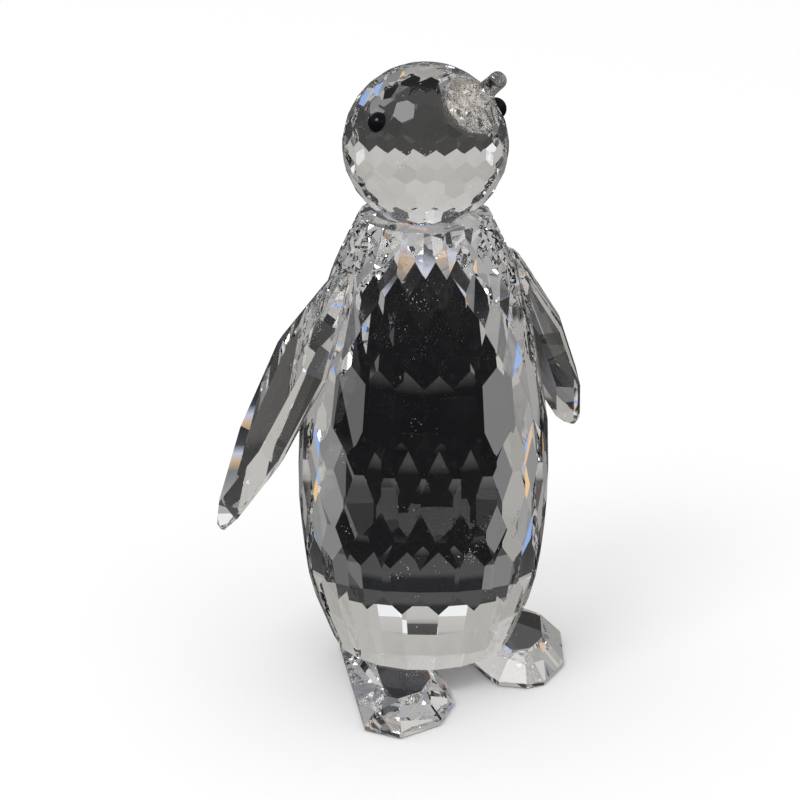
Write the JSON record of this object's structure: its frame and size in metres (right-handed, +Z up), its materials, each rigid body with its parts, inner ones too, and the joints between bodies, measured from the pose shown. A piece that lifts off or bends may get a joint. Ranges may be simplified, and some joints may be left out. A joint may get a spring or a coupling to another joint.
{
  "type": "penguin figurine",
  "caption": "Clear cut-glass penguin ornament with a faceted ball head, barrel body, drop-shaped wings and flat feet, glued together to stand on a shelf.",
  "frame": {"origin": "on the ground, under the middle of the whole figure's bounding box", "axes": "+Z up, the penguin faces -Y, +X is the penguin's left side"},
  "size_m": [0.059, 0.0368, 0.0858],
  "materials": {
    "clear_glass": "polished flat facets",
    "black_glass": "polished black glass domes",
    "clear_glue": "cured clear adhesive with small bubbles"
  },
  "bodies": {
    "root": {"body": "clear_glass", "head": "clear_glass", "beak": "clear_glass", "right_eye": "black_glass", "left_eye": "black_glass", "right_wing": "clear_glass", "left_wing": "clear_glass", "right_foot": "clear_glass", "left_foot": "clear_glass", "neck_bond": "clear_glue", "beak_bond": "clear_glue", "right_eye_bond": "clear_glue", "left_eye_bond": "clear_glue", "right_wing_bond": "clear_glue", "left_wing_bond": "clear_glue", "right_foot_bond": "clear_glue", "left_foot_bond": "clear_glue"}
  },
  "joints": []
}
